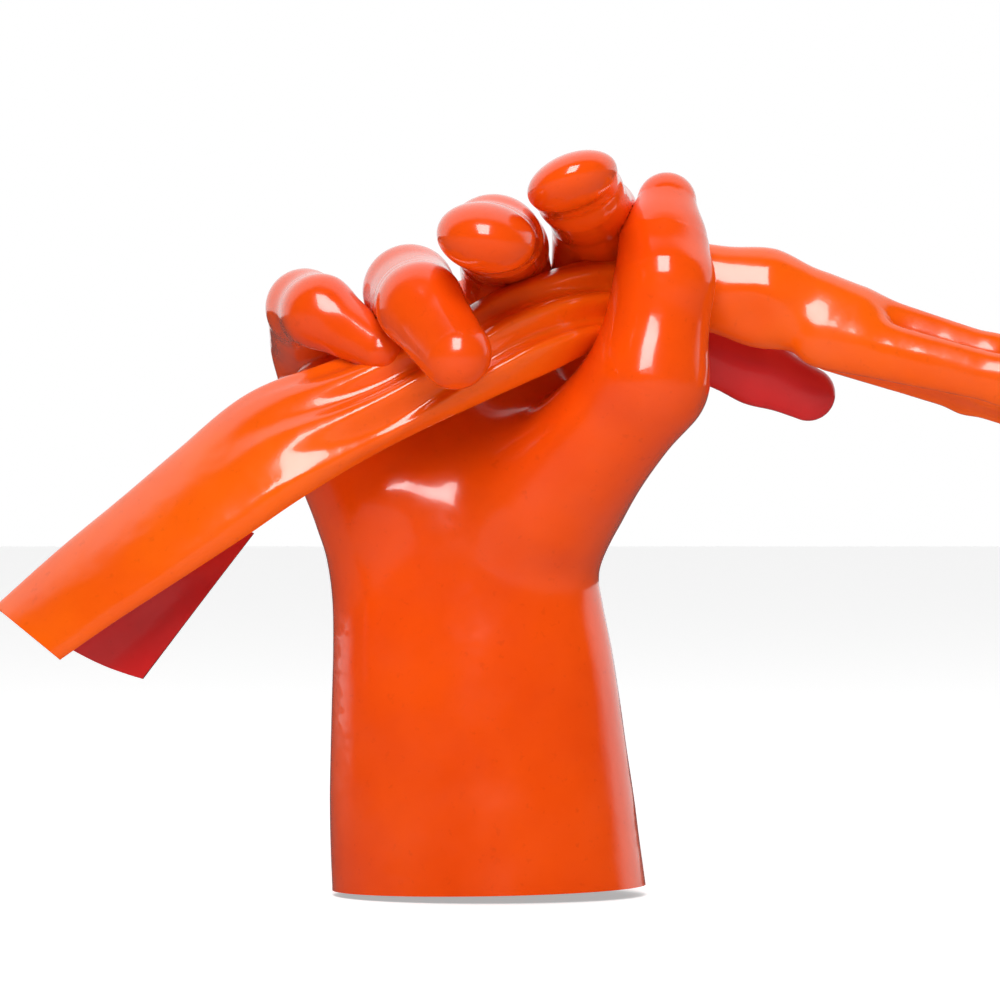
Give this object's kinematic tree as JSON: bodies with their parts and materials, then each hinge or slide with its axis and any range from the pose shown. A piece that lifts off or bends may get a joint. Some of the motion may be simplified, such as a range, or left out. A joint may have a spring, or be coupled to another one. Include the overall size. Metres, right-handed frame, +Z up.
{
  "type": "electrical insulating gloves",
  "caption": "Glossy orange rubber insulating gloves: a worn right glove closed in a fist that grips its empty left one.",
  "frame": {"origin": "centre of the worn glove's cuff opening, in the plane of its hem", "axes": "+Z up the forearm to the fist, +X to the thumb side and the empty glove's fingers, -Y out of the palm"},
  "size_m": [0.2757, 0.0927, 0.17],
  "materials": {
    "rubber_worn": "glossy",
    "rubber_empty": "glossy",
    "rubber_inside": "semi-gloss"
  },
  "bodies": {
    "cuff": {"right_cuff": "rubber_worn"},
    "hand": {"right_palm": "rubber_worn", "right_thenar": "rubber_worn", "left_gather": "rubber_empty"},
    "index_base": {"right_index_base": "rubber_worn"},
    "index_middle": {"right_index_middle": "rubber_worn"},
    "index_tip": {"right_index_tip": "rubber_worn"},
    "middle_base": {"right_middle_base": "rubber_worn"},
    "middle_middle": {"right_middle_middle": "rubber_worn"},
    "middle_tip": {"right_middle_tip": "rubber_worn"},
    "ring_base": {"right_ring_base": "rubber_worn"},
    "ring_middle": {"right_ring_middle": "rubber_worn"},
    "ring_tip": {"right_ring_tip": "rubber_worn"},
    "little_base": {"right_little_base": "rubber_worn"},
    "little_middle": {"right_little_middle": "rubber_worn"},
    "little_tip": {"right_little_tip": "rubber_worn"},
    "thumb_base": {"right_thumb_base": "rubber_worn"},
    "thumb_tip": {"right_thumb_tip": "rubber_worn"},
    "left_cuff": {"left_cuff_front": "rubber_empty", "left_cuff_fold": "rubber_inside"},
    "left_palm": {"left_palm": "rubber_empty"},
    "left_fingers": {"left_index": "rubber_empty", "left_middle": "rubber_empty", "left_ring": "rubber_empty", "left_little": "rubber_empty"},
    "left_thumb": {"left_thumb": "rubber_inside"}
  },
  "joints": [
    {"name": "wrist_bend", "type": "hinge", "parent": "cuff", "child": "hand", "pos_m": [-0.0055, 0, 0.074], "axis": [1, 0, 0], "range_deg": [-20, 20]},
    {"name": "index_knuckle", "type": "hinge", "parent": "hand", "child": "index_base", "pos_m": [0.0256, 0.0146, 0.1445], "axis": [-0.9824, 0.1034, 0.1556], "range_deg": [0, 52]},
    {"name": "index_middle_bend", "type": "hinge", "parent": "index_base", "child": "index_middle", "pos_m": [0.0246, -0.014, 0.1572], "axis": [-0.8852, 0.2143, 0.4129], "range_deg": [0, 14]},
    {"name": "index_tip_bend", "type": "hinge", "parent": "index_middle", "child": "index_tip", "pos_m": [0.021, -0.036, 0.1609], "axis": [-0.9192, 0.0858, -0.3844], "range_deg": [0, 6]},
    {"name": "middle_knuckle", "type": "hinge", "parent": "hand", "child": "middle_base", "pos_m": [0.0044, 0.0158, 0.143], "axis": [-0.999, 0.0403, 0.0174], "range_deg": [0, 63]},
    {"name": "middle_middle_bend", "type": "hinge", "parent": "middle_base", "child": "middle_middle", "pos_m": [0.0032, -0.017, 0.15], "axis": [-0.9588, 0.0924, 0.2686], "range_deg": [0, 6]},
    {"name": "middle_tip_bend", "type": "hinge", "parent": "middle_middle", "child": "middle_tip", "pos_m": [0.0015, -0.039, 0.1515], "axis": [-0.9799, 0.0879, 0.1792], "range_deg": [0, 7]},
    {"name": "ring_knuckle", "type": "hinge", "parent": "hand", "child": "ring_base", "pos_m": [-0.0185, 0.0148, 0.1375], "axis": [-0.9975, -0.0074, -0.0698], "range_deg": [0, 75]},
    {"name": "ring_middle_bend", "type": "hinge", "parent": "ring_base", "child": "ring_middle", "pos_m": [-0.0184, -0.022, 0.14], "axis": [-0.8921, -0.033, -0.4507], "range_deg": [0, 14]},
    {"name": "ring_tip_bend", "type": "hinge", "parent": "ring_middle", "child": "ring_tip", "pos_m": [-0.0155, -0.043, 0.1358], "axis": [-0.8143, 0.0036, -0.5804], "range_deg": [0, 30]},
    {"name": "little_knuckle", "type": "hinge", "parent": "hand", "child": "little_base", "pos_m": [-0.0422, 0.0116, 0.1298], "axis": [-0.9876, -0.0109, -0.1564], "range_deg": [0, 68]},
    {"name": "little_middle_bend", "type": "hinge", "parent": "little_base", "child": "little_middle", "pos_m": [-0.043, -0.012, 0.1365], "axis": [-0.7505, -0.1568, -0.642], "range_deg": [0, 27]},
    {"name": "little_tip_bend", "type": "hinge", "parent": "little_middle", "child": "little_tip", "pos_m": [-0.039, -0.025, 0.135], "axis": [-0.6434, -0.1105, -0.7575], "range_deg": [0, 45]},
    {"name": "thumb_knuckle", "type": "hinge", "parent": "hand", "child": "thumb_base", "pos_m": [0.0365, -0.024, 0.12], "axis": [0.5975, 0.8018, 0.0034], "range_deg": [0, 32]},
    {"name": "thumb_tip_bend", "type": "hinge", "parent": "thumb_base", "child": "thumb_tip", "pos_m": [0.0404, -0.027, 0.142], "axis": [0.7361, 0.6758, -0.0383], "range_deg": [0, 10]},
    {"name": "left_cuff_swing", "type": "hinge", "parent": "hand", "child": "left_cuff", "pos_m": [-0.029, -0.0275, 0.112], "axis": [-0.6153, 0, 0.7883], "range_deg": [0, 30]},
    {"name": "left_palm_swing", "type": "hinge", "parent": "hand", "child": "left_palm", "pos_m": [0.053, -0.0084, 0.1434], "axis": [0, 0, 1], "range_deg": [0, 20]},
    {"name": "left_fingers_droop", "type": "hinge", "parent": "left_palm", "child": "left_fingers", "pos_m": [0.0845, -0.0095, 0.132], "axis": [0, 1, 0], "range_deg": [-8, 14]},
    {"name": "left_thumb_droop", "type": "hinge", "parent": "left_palm", "child": "left_thumb", "pos_m": [0.054, 0.0026, 0.1236], "axis": [0, 1, 0], "range_deg": [-15, 30]}
  ],
  "couplings": [
    {"joint": "index_tip_bend", "follows": "index_middle_bend", "ratio": 0.33},
    {"joint": "middle_tip_bend", "follows": "middle_middle_bend", "ratio": 1.07},
    {"joint": "ring_tip_bend", "follows": "ring_middle_bend", "ratio": 2.09},
    {"joint": "little_tip_bend", "follows": "little_middle_bend", "ratio": 1.63},
    {"joint": "ring_knuckle", "follows": "middle_knuckle", "ratio": 1.17},
    {"joint": "little_knuckle", "follows": "middle_knuckle", "ratio": 1.06}
  ]
}
